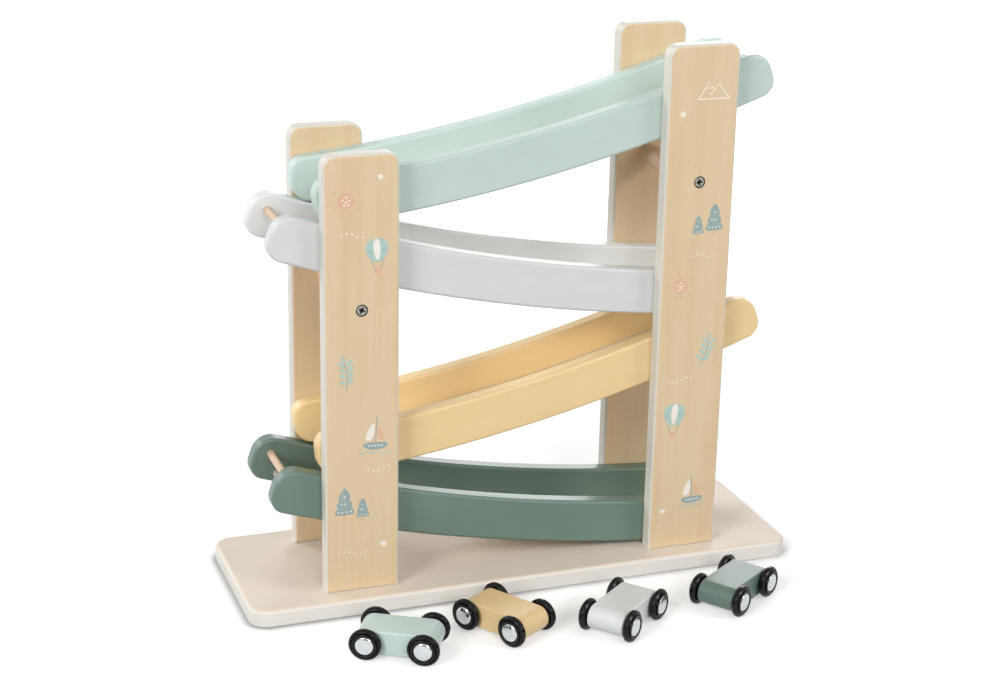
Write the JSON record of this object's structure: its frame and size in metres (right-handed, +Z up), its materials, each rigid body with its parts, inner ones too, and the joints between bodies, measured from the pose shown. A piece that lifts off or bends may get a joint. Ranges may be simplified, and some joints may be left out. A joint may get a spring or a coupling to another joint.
{
  "type": "toy race track",
  "caption": "Wooden zigzag toy race track: curved tracks one above the other between upright boards on a base, with small wooden cars.",
  "frame": {"origin": "middle of the base plate's underside, on the surface that the toy stands on", "axes": "+Z up; +X along the base towards the two taller posts, which is rightwards in the picture; +Y from the front, where the cars stand, to the back"},
  "size_m": [0.38, 0.2142, 0.3589],
  "materials": {
    "birch_plywood": "sanded, clear matt lacquer",
    "beech_faced_plywood": "sanded, clear matt lacquer, pale sealed edges",
    "mint_paint": "satin mint paint",
    "white_paint": "satin light grey-white paint",
    "yellow_paint": "satin yellow paint",
    "green_paint": "satin dark green paint",
    "bare_beech": "bare turned wood",
    "black_plastic": "gloss",
    "chrome": "polished",
    "bright_steel": "drawn",
    "zinc_plated_steel": "zinc plated"
  },
  "bodies": {
    "tower": {"base_plate": "birch_plywood", "base_screws": "zinc_plated_steel", "post_front_left": "beech_faced_plywood", "post_front_right": "beech_faced_plywood", "post_back_left": "beech_faced_plywood", "post_back_right": "beech_faced_plywood", "mint_front_rail": "mint_paint", "mint_back_rail": "mint_paint", "mint_floor": "birch_plywood", "mint_stop_dowel": "bare_beech", "mint_rail_pegs": "bare_beech", "white_front_rail": "white_paint", "white_back_rail": "white_paint", "white_floor": "birch_plywood", "white_stop_dowel": "bare_beech", "white_rail_pegs": "bare_beech", "yellow_front_rail": "yellow_paint", "yellow_back_rail": "yellow_paint", "yellow_floor": "birch_plywood", "yellow_stop_dowel": "bare_beech", "yellow_rail_pegs": "bare_beech", "green_front_rail": "green_paint", "green_back_rail": "green_paint", "green_floor": "birch_plywood", "green_stop_dowel": "bare_beech", "green_rail_pegs": "bare_beech", "left_spacer": "bare_beech", "right_spacer": "bare_beech", "post_screws": "zinc_plated_steel"},
    "mint_car": {"mint_car_body": "mint_paint"},
    "mint_car_front_wheelset": {"mint_car_front_axle": "bright_steel", "mint_car_front_wheels": "black_plastic", "mint_car_front_caps": "chrome"},
    "mint_car_rear_wheelset": {"mint_car_rear_axle": "bright_steel", "mint_car_rear_wheels": "black_plastic", "mint_car_rear_caps": "chrome"},
    "yellow_car": {"yellow_car_body": "yellow_paint"},
    "yellow_car_front_wheelset": {"yellow_car_front_axle": "bright_steel", "yellow_car_front_wheels": "black_plastic", "yellow_car_front_caps": "chrome"},
    "yellow_car_rear_wheelset": {"yellow_car_rear_axle": "bright_steel", "yellow_car_rear_wheels": "black_plastic", "yellow_car_rear_caps": "chrome"},
    "white_car": {"white_car_body": "white_paint"},
    "white_car_front_wheelset": {"white_car_front_axle": "bright_steel", "white_car_front_wheels": "black_plastic", "white_car_front_caps": "chrome"},
    "white_car_rear_wheelset": {"white_car_rear_axle": "bright_steel", "white_car_rear_wheels": "black_plastic", "white_car_rear_caps": "chrome"},
    "green_car": {"green_car_body": "green_paint"},
    "green_car_front_wheelset": {"green_car_front_axle": "bright_steel", "green_car_front_wheels": "black_plastic", "green_car_front_caps": "chrome"},
    "green_car_rear_wheelset": {"green_car_rear_axle": "bright_steel", "green_car_rear_wheels": "black_plastic", "green_car_rear_caps": "chrome"}
  },
  "joints": [
    {"name": "mint_car_roll", "type": "slide", "parent": "tower", "child": "mint_car", "axis": [0.8678, -0.497, 0], "range_m": [-0.03, 0.025]},
    {"name": "mint_car_front_axle_turn", "type": "hinge", "parent": "mint_car", "child": "mint_car_front_wheelset", "pos_m": [-0.09295, -0.12409, 0.0104], "axis": [0.497, 0.8678, 0], "continuous": true},
    {"name": "mint_car_rear_axle_turn", "type": "hinge", "parent": "mint_car", "child": "mint_car_rear_wheelset", "pos_m": [-0.12505, -0.10571, 0.0104], "axis": [0.497, 0.8678, 0], "continuous": true},
    {"name": "yellow_car_roll", "type": "slide", "parent": "tower", "child": "yellow_car", "axis": [0.5373, -0.8434, 0], "range_m": [-0.01, 0.008]},
    {"name": "yellow_car_front_axle_turn", "type": "hinge", "parent": "yellow_car", "child": "yellow_car_front_wheelset", "pos_m": [-0.02706, -0.1219, 0.0104], "axis": [0.8434, 0.5373, 0], "continuous": true},
    {"name": "yellow_car_rear_axle_turn", "type": "hinge", "parent": "yellow_car", "child": "yellow_car_rear_wheelset", "pos_m": [-0.04694, -0.0907, 0.0104], "axis": [0.8434, 0.5373, 0], "continuous": true},
    {"name": "white_car_roll", "type": "slide", "parent": "tower", "child": "white_car", "axis": [0.776, 0.6307, 0], "range_m": [-0.008, 0.012]},
    {"name": "white_car_front_axle_turn", "type": "hinge", "parent": "white_car", "child": "white_car_front_wheelset", "pos_m": [0.05346, -0.11073, 0.0104], "axis": [-0.6307, 0.776, 0], "continuous": true},
    {"name": "white_car_rear_axle_turn", "type": "hinge", "parent": "white_car", "child": "white_car_rear_wheelset", "pos_m": [0.02474, -0.13407, 0.0104], "axis": [-0.6307, 0.776, 0], "continuous": true},
    {"name": "green_car_roll", "type": "slide", "parent": "tower", "child": "green_car", "axis": [0.8181, 0.575, 0], "range_m": [-0.008, 0.025]},
    {"name": "green_car_front_axle_turn", "type": "hinge", "parent": "green_car", "child": "green_car_front_wheelset", "pos_m": [0.13784, -0.10076, 0.0104], "axis": [-0.575, 0.8181, 0], "continuous": true},
    {"name": "green_car_rear_axle_turn", "type": "hinge", "parent": "green_car", "child": "green_car_rear_wheelset", "pos_m": [0.10756, -0.12204, 0.0104], "axis": [-0.575, 0.8181, 0], "continuous": true}
  ]
}
